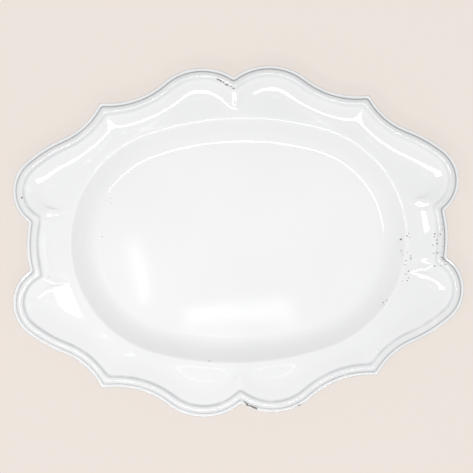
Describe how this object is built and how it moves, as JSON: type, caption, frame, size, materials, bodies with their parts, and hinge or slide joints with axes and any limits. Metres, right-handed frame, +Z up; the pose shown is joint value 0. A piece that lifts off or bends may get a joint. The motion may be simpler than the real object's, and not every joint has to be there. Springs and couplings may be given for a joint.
{
  "type": "serving platter",
  "caption": "Oval glazed earthenware serving platter with a lobed, beaded rim, a shallow oval well and an unglazed foot ring.",
  "frame": {"origin": "on the table, at the middle of the whole outline", "axes": "+Z up out of the well, +X along the platter's long way"},
  "size_m": [0.402, 0.311, 0.0363],
  "materials": {
    "clay": "fired, matte, hidden under the glaze",
    "bare_clay": "fired, matte, wiped bare where it rests",
    "white_glaze": "gloss, with pinholes",
    "white_glaze_back": "gloss",
    "white_glaze_foot_well": "gloss"
  },
  "bodies": {
    "root": {"clay_body": "clay", "foot_ring": "bare_clay", "glaze_front": "white_glaze", "glaze_back": "white_glaze_back", "glaze_foot_well": "white_glaze_foot_well"}
  },
  "joints": []
}
